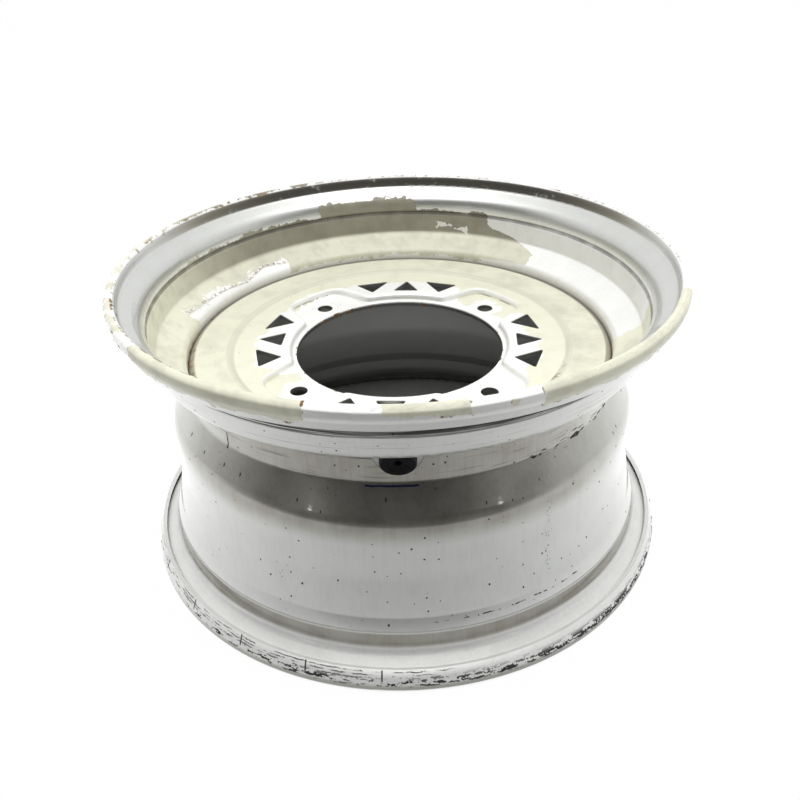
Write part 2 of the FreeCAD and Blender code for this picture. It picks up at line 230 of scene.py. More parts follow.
class WheelRimSizes(bpy.types.PropertyGroup):
    """Sizes of the pieces that are modelled here"""
    weld_radius: bpy.props.FloatProperty(
        name="Weld bead", description="Radius of the weld bead's section", unit="LENGTH", default=2.9 * MM)
    weld_ripple: bpy.props.FloatProperty(
        name="Weld ripple", description="Height of the ripples along the bead",
        unit="LENGTH", default=0.35 * MM)
    weld_pitch: bpy.props.FloatProperty(
        name="Ripple spacing", description="Distance between ripples", unit="LENGTH", default=4.6 * MM)
    thread_pitch: bpy.props.FloatProperty(
        name="Thread pitch", description="Distance between the stem's threads",
        unit="LENGTH", default=0.8 * MM)
    thread_depth: bpy.props.FloatProperty(
        name="Thread depth", description="Depth of the stem's threads", unit="LENGTH", default=0.45 * MM)


class WheelRimStage(bpy.types.PropertyGroup):
    """Camera, floor and light"""
    azimuth: bpy.props.FloatProperty(
        name="Azimuth", description="Turn of the camera round the wheel",
        subtype="ANGLE", default=math.radians(4.55))
    distance: bpy.props.FloatProperty(
        name="Distance", description="Camera to the wheel's axis", unit="LENGTH", default=0.4612)
    height: bpy.props.FloatProperty(
        name="Height", description="Camera over the floor", unit="LENGTH", default=0.3661)
    pitch: bpy.props.FloatProperty(
        name="Pitch", description="How far the camera looks down",
        subtype="ANGLE", default=math.radians(31.78))
    yaw: bpy.props.FloatProperty(
        name="Yaw", description="How far the camera looks to the side",
        subtype="ANGLE", default=math.radians(-0.12))
    roll: bpy.props.FloatProperty(
        name="Roll", description="Tilt of the camera", subtype="ANGLE", default=math.radians(-2.18))
    lens: bpy.props.FloatProperty(
        name="Lens", description="Focal length for a sensor 36 mm wide", unit="CAMERA", default=37.07)
    floor: bpy.props.FloatVectorProperty(
        name="Floor", description="Colour of the floor", subtype="COLOR", size=3, min=0, max=1,
        default=(0.9, 0.9, 0.9))
    lamp_power: bpy.props.FloatProperty(
        name="Lamp", description="Power of the soft lamp over the wheel", unit="POWER", min=0, default=11.0)
    side_power: bpy.props.FloatProperty(
        name="Side lamps", description="Power of each small lamp in front", unit="POWER", min=0, default=0.17)


class Field:
    """A socket of a node tree, so that shader maths reads as plain expressions."""

    def __init__(self, nodes, socket):
        self.nodes = nodes
        self.socket = socket

    def out(self, name):
        """Another output of the same node."""
        return Field(self.nodes, self.socket.node.outputs[name])

    def __add__(self, other):
        return self.nodes.maths("ADD", self, other)

    def __radd__(self, other):
        return self.nodes.maths("ADD", other, self)

    def __sub__(self, other):
        return self.nodes.maths("SUBTRACT", self, other)

    def __rsub__(self, other):
        return self.nodes.maths("SUBTRACT", other, self)

    def __mul__(self, other):
        return self.nodes.maths("MULTIPLY", self, other)

    def __rmul__(self, other):
        return self.nodes.maths("MULTIPLY", other, self)

    def __truediv__(self, other):
        return self.nodes.maths("DIVIDE", self, other)

    def __rtruediv__(self, other):
        return self.nodes.maths("DIVIDE", other, self)

    def __neg__(self):
        return self.nodes.maths("MULTIPLY", self, -1)

    def __abs__(self):
        return self.nodes.maths("ABSOLUTE", self)


class Nodes:
    """A node tree that is built from expressions."""

    def __init__(self, tree):
        self.tree = tree
        tree.nodes.clear()

    def node(self, kind, settings=None, sockets=None, output=0):
        """Add a node: its settings first, then the values or links of its sockets."""
        made = self.tree.nodes.new(kind)
        for name, value in (settings or {}).items():
            if name == "stops":
                set_stops(made.color_ramp, value)
            else:
                setattr(made, name, value)
        for key, value in (sockets or {}).items():
            socket = made.inputs[key]
            if isinstance(value, Field):
                self.tree.links.new(value.socket, socket)
            else:
                socket.default_value = value
        if output is not None:
            return Field(self, made.outputs[output])

    def maths(self, operation, *values):
        return self.node("ShaderNodeMath", {"operation": operation}, dict(enumerate(values)))

    def smallest(self, *values):
        least = values[0]
        for value in values[1:]:
            least = self.maths("MINIMUM", least, value)
        return least

    def largest(self, *values):
        most = values[0]
        for value in values[1:]:
            most = self.maths("MAXIMUM", most, value)
        return most

    def step(self, value, low, high):
        """0 below low, 1 above high, smooth between them."""
        return self.node("ShaderNodeMapRange", {"interpolation_type": "SMOOTHSTEP"},
                         {"Value": value, "From Min": low, "From Max": high})

    def ramp(self, value, stops):
        """Number that runs in straight lines through stops of (input, output)."""
        first, last = stops[0][0], stops[-1][0]
        least = min(out for _, out in stops)
        most = max(out for _, out in stops)
        share = self.node("ShaderNodeMapRange", None, {"Value": value, "From Min": first, "From Max": last})
        scaled = [((at - first) / (last - first), (out - least) / (most - least)) for at, out in stops]
        grey = self.node("ShaderNodeValToRGB", {"stops": scaled}, {"Fac": share})
        return grey * (most - least) + least

    def mix(self, under, over, share):
        """Colour that goes from under to over as the share goes from 0 to 1."""
        return self.node("ShaderNodeMix", {"data_type": "RGBA"}, {
            0: share, 6: as_colour(under), 7: as_colour(over)}, 2)


def as_colour(value):
    """Colour socket value of a property's three numbers; a field stays as it is."""
    return value if isinstance(value, Field) else (*value, 1)


def set_stops(ramp, stops):
    """Grey stops of a colour ramp as (position, brightness), from position 0 to 1."""
    ends = {0: ramp.elements[0], len(stops) - 1: ramp.elements[1]}
    for number, (position, grey) in enumerate(stops):
        element = ends.get(number) or ramp.elements.new(position)
        element.color = (grey, grey, grey, 1)


class Surface(Nodes):
    """A material on the rim, with places in millimetres and degrees."""

    def __init__(self, name):
        self.material = bpy.data.materials.new(name)
        self.material.use_nodes = True
        super().__init__(self.material.node_tree)
        self.place = self.node("ShaderNodeTexCoord", output="Object")
        parts = self.node("ShaderNodeSeparateXYZ", None, {0: self.place})
        self.x = parts * 1000
        self.y = parts.out("Y") * 1000
        self.z = parts.out("Z") * 1000
        self.radius = self.maths("SQRT", self.x * self.x + self.y * self.y)
        self.angle = self.maths("ARCTAN2", self.y, self.x) * math.degrees(1)
        self.per_degree = self.radius * math.radians(1)
        # Runs up leaning walls too, for marks that are drawn on them
        self.level = self.z + self.radius * 0.8

    def cloud(self, vector, detail):
        """Noise about 0 at a vector that is already to scale."""
        return self.node("ShaderNodeTexNoise", None, {"Vector": vector, "Scale": 1, "Detail": detail}) - 0.5

    def noise(self, size, detail, seed):
        """Noise with features of a size in millimetres."""
        return self.cloud(self.moved((1000 / size,) * 3, seed), detail)

    def drips(self, along, across, detail, seed):
        """Noise that is drawn out up and down."""
        return self.cloud(self.moved((1000 / across, 1000 / across, 1000 / along), seed), detail)

    def streaks(self, along, across, detail, seed):
        """Noise that is drawn out round the wheel."""
        drawn = self.node("ShaderNodeCombineXYZ", None, {
            0: self.x / along + seed, 1: self.y / along, 2: self.level / across})
        return self.cloud(drawn, detail)

    def moved(self, factors, seed):
        """Places times factors, moved so that two noises differ."""
        return self.node("ShaderNodeVectorMath", {"operation": "MULTIPLY_ADD"}, {
            0: self.place, 1: factors, 2: (seed * 5.3, seed * 3.1, seed * 7.7)})

    def specks(self, spacing, size, share):
        """Round specks of a size in millimetres, in a share of the cells of a spacing."""
        round_about = self.turn_from(270) * math.radians(TYRE_SIDE_RADIUS)
        flat = self.node("ShaderNodeCombineXYZ", None, {0: round_about, 1: self.level})
        cells = self.node("ShaderNodeTexVoronoi", {"voronoi_dimensions": "2D"}, {
            "Vector": flat, "Scale": 1 / spacing})
        chosen = self.node("ShaderNodeSeparateColor", None, {0: cells.out("Color")})
        radius = (chosen.out("Green") * 0.7 + 0.3) * (size / spacing / 2)
        return (1 - self.step(cells / radius, 0.6, 1.1)) * (1 - self.step(chosen, share, share + 0.01))

    def turn_from(self, angle):
        """Degrees from an angle, between -180 and 180."""
        return self.maths("WRAP", self.angle - angle, 180, -180)

    def inside(self, stretch):
        """Millimetres inside a stretch's edges; negative outside it."""
        sideways = (stretch.reach - abs(self.turn_from(stretch.angle))) * self.per_degree
        return self.smallest(sideways, self.z - stretch.low, stretch.high - self.z)

    def inside_any(self, stretches):
        return self.largest(*[self.inside(stretch) for stretch in stretches])

    def band(self, heights):
        """1 in a band by height, 0 outside it."""
        begin, full, fade, end = heights
        return self.step(self.z, begin, full) * (1 - self.step(self.z, fade, end))

    def line(self, distance, width):
        """1 on a line, 0 off it, from the distance to its middle."""
        return 1 - self.step(abs(distance), width * 0.35, width * 0.65)

    def bolt_distance(self, angle):
        """Millimetres from a bolt hole's middle."""
        across = self.x - BOLT_RADIUS * math.cos(math.radians(angle))
        along = self.y - BOLT_RADIUS * math.sin(math.radians(angle))
        return self.maths("SQRT", across * across + along * along)

    def from_valve(self):
        """Millimetres along the valve's axis from the rim's flat, and away from that axis."""
        foot, axis, _ = valve_axis()
        apart = self.node("ShaderNodeVectorMath", {"operation": "SUBTRACT"}, {0: self.place, 1: foot})
        along = self.node(
            "ShaderNodeVectorMath", {"operation": "DOT_PRODUCT"}, {0: apart, 1: axis}, "Value") * 1000
        total = self.node("ShaderNodeVectorMath", {"operation": "LENGTH"}, {0: apart}, "Value") * 1000
        return along, self.maths("SQRT", self.largest(total * total - along * along, 0))

    def finish(self, colour, roughness, metallic, height=None, depth=0.1, coat=0.0, coat_roughness=0.2,
               shine=0.5):
        """Close the material with one shader; height is a share of a depth in millimetres."""
        sockets = {"Base Color": as_colour(colour), "Roughness": roughness, "Metallic": metallic,
                   "Coat Weight": coat, "Coat Roughness": coat_roughness, "Specular IOR Level": shine}
        if height is not None:
            sockets["Normal"] = self.node("ShaderNodeBump", None, {
                "Height": height, "Distance": depth * MM, "Strength": 1.0})
        shader = self.node("ShaderNodeBsdfPrincipled", None, sockets)
        self.node("ShaderNodeOutputMaterial", None, {"Surface": shader}, None)
        return self.material


class BarrelSurface(Surface):
    """Grain, zones and wear of the barrel's paint."""

    def __init__(self):
        super().__init__("worn_barrel_paint")
        self.big = self.noise(15, 2, 1)
        self.mid = self.noise(4.5, 2, 2)
        self.fine = self.noise(1.3, 2, 3)
        self.rings = self.streaks(40, 0.7, 2, 4)
        self.dashes = self.streaks(7, 1.1, 3, 5)
        self.rain = self.drips(30, 1.6, 2, 6)
        self.ragged = self.big * 8 + self.mid * 6 + self.fine * 3
        self.inner = self.step(self.ramp(self.z, SHEET_MIDDLE) - self.radius, -0.3, 0.3)
        self.outer = 1 - self.inner
        self.dish = self.inner * self.step(self.z, DISC_EDGE - 8, DISC_EDGE - 6)
        self.hub_side = self.inner - self.dish
        self.lip = self.step(self.z, HEM_EDGE - 0.1, HEM_EDGE + 0.1) * self.step(
            self.radius, HEM_INSIDE - 1.5, HEM_INSIDE - 0.6)
        self.lip_wall = self.lip * (1 - self.step(self.radius, HEM_INSIDE + 0.5, HEM_INSIDE + 1.1)) * (
            1 - self.step(self.z, CREST - 2.0, CREST - 1.0))
        self.crease = self.dish * (1 - self.step(self.z, DISC_EDGE, DISC_EDGE + 2.0))
        low_leaf = self.step(self.radius - self.ramp(self.z, LEAF_MIDDLE), -0.2, 0.2)
        self.low_hem = low_leaf * self.band(LOW_HEM)
        self.shelf_edge = self.ramp(self.angle, SHELF_CHIP_TOP) - self.z + self.rain * 5
        self.shelf_chip = self.smallest(
            self.shelf_edge, (self.angle - SHELF_CHIP_FROM) * self.per_degree,
            (SHELF_CHIP_TO - self.angle) * self.per_degree)
        self.dish_coat = self.coat_in_dish()
        self.lip_depth = self.inside_any(LIP_COAT) + self.ragged * 0.8
        self.lip_coat = self.step(self.lip_depth, -0.15, 0.15) * self.lip
        self.coat = self.largest(self.dish_coat, self.lip_coat)

    def coat_in_dish(self):
        """Share of the cream coat that is left on the walls of the dish."""
        bare = self.smallest(self.angle - BARE_FROM, self.ramp(self.z, BARE_TO) - self.angle)
        bare = bare * self.per_degree
        foot_bare = self.smallest(
            WELL_COAT_FOOT - self.z, (self.angle - WELL_FOOT_FROM) * self.per_degree,
            (WELL_FOOT_TO - self.angle) * self.per_degree)
        flaked = self.largest(bare, foot_bare, self.shelf_chip, self.inside_any(SEAT_CHIPS))
        wall = self.smallest(WALL_COAT_TOP - self.z, -flaked)
        depth = self.largest(wall, self.inside_any(LEDGE_COAT)) + self.ragged
        return self.step(depth, -0.15, 0.15) * self.dish * (1 - self.lip)

    def shade_and_grime(self):
        """Share of the brown-grey that darkens the well, the creases, the lip's back wall, the back seat and
        shelf, the lower seat and the foot of the hem; most of it is painted shade, with some patchy dirt.
        """
        # Painted shade: the well darkens more towards the front, the back seat, back shelf and lower seat are
        # darkened as if unlit, and the back lip's wall is darkened in patches, partly dirt
        well = self.outer * self.band(WELL_SHADE) * (0.5 + self.step(-self.y, 60, 130) * 0.5)
        cloudy = self.step(self.big + self.rain * 0.4, -0.25, 0.3)
        back_wall_dirt_and_shade = self.lip_wall * self.step(self.y, 20, 90) * self.step(self.mid + self.big, -0.6, -0.1)
        back_seat_shade = self.coat * self.dish * self.step(self.z, 140, 144) * self.step(self.y, 0, 110)
        low_seat_shade = self.outer * self.band(LOW_SEAT)
        under_hem = self.outer * (1 - self.step(self.z, 3, 7.5))
        back_shelf_shade = self.coat * self.dish * (1 - self.step(self.z, 138, 143)) * self.step(self.y, 0, 110)
        return self.largest(
            well * (0.58 + cloudy * 0.2), low_seat_shade * (0.7 + cloudy * 0.15), under_hem * 0.62,
            self.crease * 0.5, back_wall_dirt_and_shade * 0.95, back_seat_shade * (0.8 + cloudy * 0.1), back_shelf_shade * 0.16,
            cloudy * 0.05)

    def groove_dirt_and_shade(self):
        """Share of the near-black in the outer seat's groove, inside the back lip and over the lower seat:
        dirt, with painted shade under the upper hem, in the groove, inside the back lip and along the bend
        over the lower seat.
        """
        under_hem = self.outer * self.line(self.z - GROOVE, 5.6) * self.step(self.rings, -0.2, 0.05)
        in_dish = self.dish * self.line(self.z - GROOVE, 2.6) * (0.6 + self.step(self.big, -0.3, 0.1) * 0.4)
        back_lip_dirt_and_shade = self.lip_wall * self.step(self.y, 60, 140) * self.step(self.mid + self.big, -0.6, -0.1)
        over_seat = self.outer * self.line(self.z - LOW_SEAT_TOP - self.big * 0.4, 0.9)
        return self.largest(under_hem, in_dish * 0.75, back_lip_dirt_and_shade, over_seat * 0.4)

    def roundness(self):
        """Height in millimetres that rounds off both lips in the light."""
        upper = self.largest(self.z - LIP_BEND, 0)
        lower = self.smallest(self.largest(self.z - HEM_BEND, 0), 8)
        return upper * upper / -15 - lower * lower / 18

    def rust(self):
        """Share of the rust in creases and along flaked edges."""
        torn = self.step(self.lip_depth, -1.0, -0.2) * (self.lip - self.lip_coat)
        torn = torn * self.step(self.mid, 0.06, 0.12)
        crest_edge = self.lip * (1 - self.step(self.radius, 164, 165))
        along_crest = self.step(self.inside(CREST_RUST) + self.mid * 9, 1.4, 1.8) * crest_edge
        chip_edge = self.step(self.inside(CHIP_RUST) + self.ragged * 0.5, 0, 0.3) * self.lip
        fringe = self.step(self.smallest(self.shelf_edge, 2.6 - self.shelf_edge) + self.rain * 4, 0.5, 1.6)
        fringe = fringe * self.step(self.shelf_chip, 0.2, 0.8) * self.dish * (1 - self.dish_coat)
        left_crease = self.crease * self.step(self.inside(CREASE_RUST) * 0.01 + self.mid, 0.12, 0.3)
        back_edge = crest_edge * self.step(self.z, CREST - 1.2, CREST - 0.5) * self.step(self.y, -60, 20)
        back_edge = back_edge * self.step(self.mid + self.fine * 0.5, 0.05, 0.12)
        return self.largest(torn, along_crest, chip_edge, fringe * 0.7, left_crease * 0.8, back_edge * 0.7)

    def hem_scuffs(self):
        """Scuffs, thin lines and cross ticks on the lower hem."""
        corner = self.low_hem * (1 - self.step(self.z, 7.5, 11.5))
        scuffs = self.step(self.dashes + self.fine * 0.5 + self.ramp(self.angle, SCUFFED), 0.1, 0.15) * corner
        left = self.step(self.inside(LEAF_LINE_REACH), 0, 12)
        broken = self.step(self.big * 0.7 + self.dashes + self.fine * 0.4, -0.12, 0.08)
        wobble = self.mid * 1.5 + self.fine * 0.6
        lines = self.largest(*[self.line(self.z - height - wobble, 0.6) for height in LEAF_LINES])
        from_tick = self.maths("WRAP", self.angle - TICK_ANGLE, TICK_HALF_SPACING, -TICK_HALF_SPACING)
        ticks = self.line(from_tick, 0.3) * self.step(self.inside(TICKS), 0, 1)
        return self.largest(scuffs, lines * broken * left * self.low_hem * 0.9, ticks * self.low_hem)

    def scuffs(self):
        """Black pits, nicks and scratches."""
        nicks = self.step(self.inside(NICKS) * 0.03 + self.dashes, 0.2, 0.24) * self.lip
        crack = self.step(self.inside(CRACK) + self.mid * 1.2, 0, 0.2)
        seam = self.line(self.z - SEAM_HEIGHT - self.big * 2, 0.7) * self.step(self.mid, 0.0, 0.05)
        seam = seam * self.step(self.inside(SEAM), 0, 4)
        dotted = self.step(self.inside(DOTS), 0, 1.2) * self.step(self.fine, 0.09, 0.14)
        scrape = self.step(self.inside(SCRAPE) * 0.04 + self.dashes, 0.11, 0.15)
        scored = self.step(self.rings, 0.13, 0.19) * self.band(SCORED)
        scored = scored * (0.25 + (1 - self.step(self.z, 128, 132)) * 0.3)
        small_pits = self.specks(3.6, 0.9, 0.25) * self.step(self.big, 0.1, 0.14)
        pits = self.largest(self.specks(7, 1.5, 0.2), small_pits) * self.band(PITTED)
        tyre_side = self.largest(pits, crack, seam, dotted, scrape, scored) * self.outer
        return self.largest(nicks, tyre_side, self.hem_scuffs())


def barrel_paint(colours):
    """Silver paint, with what is left of a cream coat on the dish side and the lip."""
    s = BarrelSurface()
    ledge = s.dish * s.step(s.z, WALL_COAT_TOP, WALL_COAT_TOP + 3)
    low_edge = s.outer * s.band(LOW_EDGE)
    seat = s.outer * s.band(OUTER_SEAT)
    lip_top = s.lip * s.step(s.z, 171, 173) * (1 - s.lip_wall)
    pale = s.largest((s.dish - ledge) * 0.95, lip_top, low_edge * 0.9, seat * 0.3)
    silver = s.mix(colours.silver, colours.pale, pale)
    silver = s.mix(silver, colours.grime_and_shade, s.step(s.rain + s.big * 0.5, -0.1, 0.4) * 0.07)
    # Painted shade: the hub side, inside the barrel under the disc, is a darker copy of the silver
    silver = s.mix(silver, [c * 0.45 for c in colours.silver], s.hub_side)
    cream = s.mix(colours.cream, [c * 0.86 for c in colours.cream], s.step(s.big + s.mid * 0.6, -0.1, 0.25))
    colour = s.mix(silver, cream, s.coat)
    # Painted shade, with some patchy dirt, in the well, in the creases and on the back walls
    colour = s.mix(colour, colours.grime_and_shade, s.shade_and_grime())
    # Near black: dirt, with painted shade under the upper hem, in the groove, inside the back lip and over
    # the lower seat
    groove = s.groove_dirt_and_shade()
    colour = s.mix(colour, [c * 0.16 for c in colours.grime_and_shade], groove * 0.9)
    rust = s.rust()
    colour = s.mix(colour, colours.rust, rust)
    black = s.scuffs()
    colour = s.mix(colour, colours.black_scuff_and_shade, black)
    pen = s.line(s.z - PEN_HEIGHT - s.mid, 0.9) * s.step(s.inside(PEN_LINE), 0, 0.8) * s.outer
    colour = s.mix(colour, colours.ink, pen)

    dull = s.largest(rust, black, groove)
    roughness = s.mid * 0.06 + 0.37 + s.largest(s.coat, pale) * 0.03 + dull * 0.3
    metallic = (1 - s.coat) * (1 - dull) * (0.85 - pale * 0.65)
    height = (s.big + s.mid * 0.5) * 0.02 + s.roundness()
    return s.finish(colour, roughness, metallic, height, 1.0, (1 - dull) * (0.9 - s.coat * 0.6), 0.05)


def disc_paint(colours):
    """Cream coat, flaked to silver round the bore, the vents and the bolt pads."""
    s = Surface("worn_disc_paint")
    big = s.noise(15, 2, 11)
    mid = s.noise(4.5, 2, 12)
    fine = s.noise(1.3, 2, 13)
    ragged = big * 10 + mid * 8 + fine * 3
    top = s.step(s.z, PAD - 0.9, PAD - 0.7)
    coat_depth = s.radius - s.ramp(s.angle, DISC_COAT_START)
    for angle in (45, 225):
        coat_depth = s.smallest(coat_depth, s.bolt_distance(angle) - 10.6)
    inside_web = 1 - s.step(s.radius, 97, 99)
    wall = s.step(s.z, PAD + 1.1, PAD + 1.3) * (1 - s.step(s.z, WEB - 0.6, WEB - 0.3)) * inside_web
    near_pad = 1 - s.step(s.smallest(*[s.bolt_distance(angle) for angle in BOLT_ANGLES]), 19, 22)
    from_vents = abs(s.maths("WRAP", s.angle, 45, -45))
    vent_wall_shade = wall * s.step(s.radius, 73.4, 73.8) * (1 - s.step(from_vents, 24.3, 24.8))
    coat = s.step(coat_depth + ragged, -0.15, 0.15) * top * (1 - wall)

    silver = s.mix(colours.pale, colours.grime_and_shade, s.step(big, 0.0, 0.3) * 0.1)
    # Painted shade: below its top face the disc is a darker copy of the silver
    silver = s.mix([c * 0.45 for c in colours.silver], silver, top)
    cream = s.mix(colours.cream, [c * 0.92 for c in colours.cream], s.step(big + fine * 0.3, -0.05, 0.25))
    colour = s.mix(silver, cream, coat)

    # Greyer patches on the disc's outer ring
    outer_ring_grey_and_shade = s.step(s.radius, 106, 108) * top * s.step(big + mid * 0.4, -0.35, 0.3)
    # Painted shade, with some dirt: the crevice where the disc meets the well's wall is darkened
    edge = s.step(s.radius, 125.8, 127.4) * top
    # Painted shade along the disc's step
    step_shade_line = s.line(s.radius - DISC_STEP, 4.6) * top
    # Painted shade, with some dirt, along the foot of the pad walls
    foot = s.line(s.z - PAD - 0.8, 0.8) * inside_web * near_pad * s.step(mid + big, -0.1, 0.05)
    # Painted shade: the ring is darker on the right (+X) side
    outer_ring_grey_and_shade = outer_ring_grey_and_shade * (0.14 + s.step(s.x, 0, 90) * 0.12)
    colour = s.mix(colour, colours.grime_and_shade, s.largest(edge * 0.8, outer_ring_grey_and_shade, step_shade_line * 0.24, foot * 0.7))
    # Painted shade: the vents' walls are darkened to near black
    colour = s.mix(colour, colours.black_scuff_and_shade, vent_wall_shade * 0.85)
    bore = 1 - s.step(s.radius, BORE + 0.3, BORE + 1.2)
    rust = s.largest(
        bore * s.step(mid + s.step(s.inside(BORE_RUST), 0, 6) * 0.16, 0.12, 0.2),
        s.step(s.inside(STEP_RUST), 0, 3) * s.line(s.radius - 104.5, 3.0) * (s.step(mid, 0.02, 0.1) * 0.7),
        edge * s.step(s.inside(EDGE_RUST) * 0.01 + mid, 0.12, 0.3) * 0.7,
    )
    colour = s.mix(colour, colours.rust, rust)
    pits = s.specks(8, 1.0, 0.06) * top
    colour = s.mix(colour, colours.black_scuff_and_shade, pits)

    dull = s.largest(rust, pits, edge * 0.5, vent_wall_shade)
    roughness = mid * 0.1 + 0.38 + dull * 0.3
    metallic = (1 - coat) * (1 - dull) * (0.92 - top * 0.7)
    return s.finish(colour, roughness, metallic, big + mid * 0.5, 0.02, (1 - dull) * 0.3, 0.12)


def weld_paint(colours):
    """Silver paint over the bead, with soot and rust between the ripples."""
    s = Surface("painted_weld")
    mid = s.noise(6, 3, 21)
    soot = s.step(mid, -0.05, 0.2)
    rust = s.step(s.noise(4, 3, 22), 0.1, 0.2)
    colour = s.mix(s.mix(colours.silver, colours.grime_and_shade, soot * 0.6), colours.rust, rust * 0.8)
    return s.finish(colour, 0.42 + soot * 0.2 + rust * 0.2, (1 - rust) * 0.7, s.noise(0.9, 2, 23), 0.08)


def valve_rubber(colours):
    """Matt black rubber with pale dust; the dish of the base is left without dust, dark as painted shade, and
    a bluish ring round its rim is a painted highlight.
    """
    s = Surface("valve_rubber")
    along, aside = s.from_valve()
    dust = s.step(s.noise(4, 3, 31), -0.1, 0.3)
    base = s.step(-along, 1.0, 2.0)
    # Painted highlight: a lighter bluish-grey ring round the base's rim
    ring = base * s.step(aside, 8.2, 9.0)
    colour = s.mix(colours.rubber, (0.035, 0.04, 0.05), s.largest(dust * 0.35 * (1 - base), ring))
    return s.finish(colour, 0.7 + dust * 0.2 - base * 0.1, 0.0, s.noise(0.5, 2, 32), 0.03, shine=0.12)


def valve_brass(colours):
    """Turned brass, tarnished in patches; inside the rubber it is painted black, as shade."""
    s = Surface("turned_brass")
    along, _ = s.from_valve()
    tarnish = s.step(s.noise(2.5, 3, 41), -0.1, 0.3)
    # Painted shade: the stem's foot inside the rubber is black and not metallic
    black = 1 - s.step(along, 6, 12)
    colour = s.mix(colours.brass, [c * 0.45 for c in colours.brass], tarnish)
    colour = s.mix(colour, colours.black_scuff_and_shade, black)
    return s.finish(colour, 0.26 + tarnish * 0.22 + black * 0.2, 1 - black, s.noise(0.25, 2, 42), 0.01)


def gasket_plastic(colours):
    """Red sealing ring, a little faded."""
    s = Surface("gasket_plastic")
    faded = s.step(s.noise(1.2, 2, 51), -0.2, 0.3)
    colour = s.mix(colours.gasket, [min(1, c * 1.5 + 0.05) for c in colours.gasket], faded * 0.5)
    return s.finish(colour, 0.5 + faded * 0.1, 0.0, s.noise(0.3, 2, 52), 0.01)


def spring_steel(colours):
    """Bright drawn wire with fine drawing marks."""
    s = Surface("spring_steel")
    marks = s.step(s.noise(0.4, 2, 61), -0.2, 0.3)
    colour = s.mix(colours.steel, [c * 0.7 for c in colours.steel], marks)
    return s.finish(colour, 0.25 + marks * 0.15, 1.0, s.noise(0.2, 2, 62), 0.01)


def valve_axis():
    """Where the valve's axis crosses the rim's flat, and its direction."""
    tip = next(mount for mount in frame["record"]["mounts"] if mount["name"] == "valve_tip")
    axis = Vector(tip["axis"]).normalized()
    return Vector(tip["pos_m"]) - axis * THREAD_MIDDLE * MM, axis, tip["dims"]["r_mm"] * MM


def new_piece(name, shape, material, body):
    """Object of a finished bmesh, riding on a body of the frame."""
    mesh = bpy.data.meshes.new(name)
    shape.to_mesh(mesh)
    shape.free()
    mesh.materials.append(material)
    piece = bpy.data.objects.new(name, mesh)
    bpy.context.scene.collection.objects.link(piece)
    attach(piece, body)
    return piece


def dress(names, material):
    """Give CAD nodes their finish."""
    for name in names:
        slots = frame["nodes"][name].data.materials
        slots.clear()
        slots.append(material)


def outline_edges(shape, points):
    """Closed outline of (radius, height) points in the XZ plane, as bmesh geometry."""
    corners = [shape.verts.new((radius, 0, height)) for radius, height in points]
    edges = [shape.edges.new((a, b)) for a, b in zip(corners, corners[1:] + corners[:1])]
    return corners + edges


def spun(shape, geometry, steps):
    """Spin an outline once round the Z axis and close it."""
    bmesh.ops.spin(shape, geom=geometry, cent=(0, 0, 0), axis=(0, 0, 1), dvec=(0, 0, 0),
                   angle=math.tau, steps=steps, use_merge=True)
    bmesh.ops.remove_doubles(shape, verts=shape.verts, dist=1e-7)
    bmesh.ops.recalc_face_normals(shape, faces=shape.faces)


def smooth_faces(shape, limit):
    """Smooth shading, with edges sharper than a limit in degrees left sharp."""
    for face in shape.faces:
        face.smooth = True
    for edge in shape.edges:
        edge.smooth = len(edge.link_faces) < 2 or edge.calc_face_angle() < math.radians(limit)


class RIM_OT_barrel(bpy.types.Operator):
    """Paint the barrel"""
    bl_idname = "rim.barrel"
    bl_label = "Barrel"

    def execute(self, context):
        dress(["rim_barrel"], barrel_paint(context.scene.rim_colours))
        return {"FINISHED"}


class RIM_OT_disc(bpy.types.Operator):
    """Paint the disc"""
    bl_idname = "rim.disc"
    bl_label = "Disc"

    def execute(self, context):
        dress(["wheel_disc"], disc_paint(context.scene.rim_colours))
        return {"FINISHED"}


class RIM_OT_weld(bpy.types.Operator):
    """Model the rippled weld bead that holds the disc in the barrel"""
    bl_idname = "rim.weld"
    bl_label = "Weld bead"

    steps = 1440
    section_sides = 14
    inset = 3.2 * MM           # from the bead's outer edge to the middle of its section
    ripple_lean = 0.012

    def execute(self, context):
        sizes = context.scene.rim_sizes
        low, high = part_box("disc_weld")
        middle = Vector((high.x - self.inset, 0, low.z + sizes.weld_radius))
        shape = bmesh.new()
        made = bmesh.ops.create_circle(shape, segments=self.section_sides, radius=sizes.weld_radius)
        bmesh.ops.rotate(shape, verts=made["verts"], matrix=Matrix.Rotation(math.pi / 2, 3, "X"))
        bmesh.ops.translate(shape, verts=made["verts"], vec=middle)
        spun(shape, shape.verts[:] + shape.edges[:], self.steps)
        ripples = round(math.tau * middle.x / sizes.weld_pitch)
        for vert in shape.verts:
            angle = math.atan2(vert.co.y, vert.co.x)
            ring = Vector((middle.x * math.cos(angle), middle.x * math.sin(angle), middle.z))
            outwards = vert.co - ring
            lean = outwards.z / sizes.weld_radius
            wave = abs(math.sin((angle + lean * self.ripple_lean) * ripples / 2))
            vert.co = ring + outwards * (1 - sizes.weld_ripple / sizes.weld_radius * (1 - wave))
        smooth_faces(shape, 40)
        bead = new_piece("weld_bead", shape, weld_paint(context.scene.rim_colours), "wheel")
        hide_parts("disc_weld")
        return {"FINISHED"}


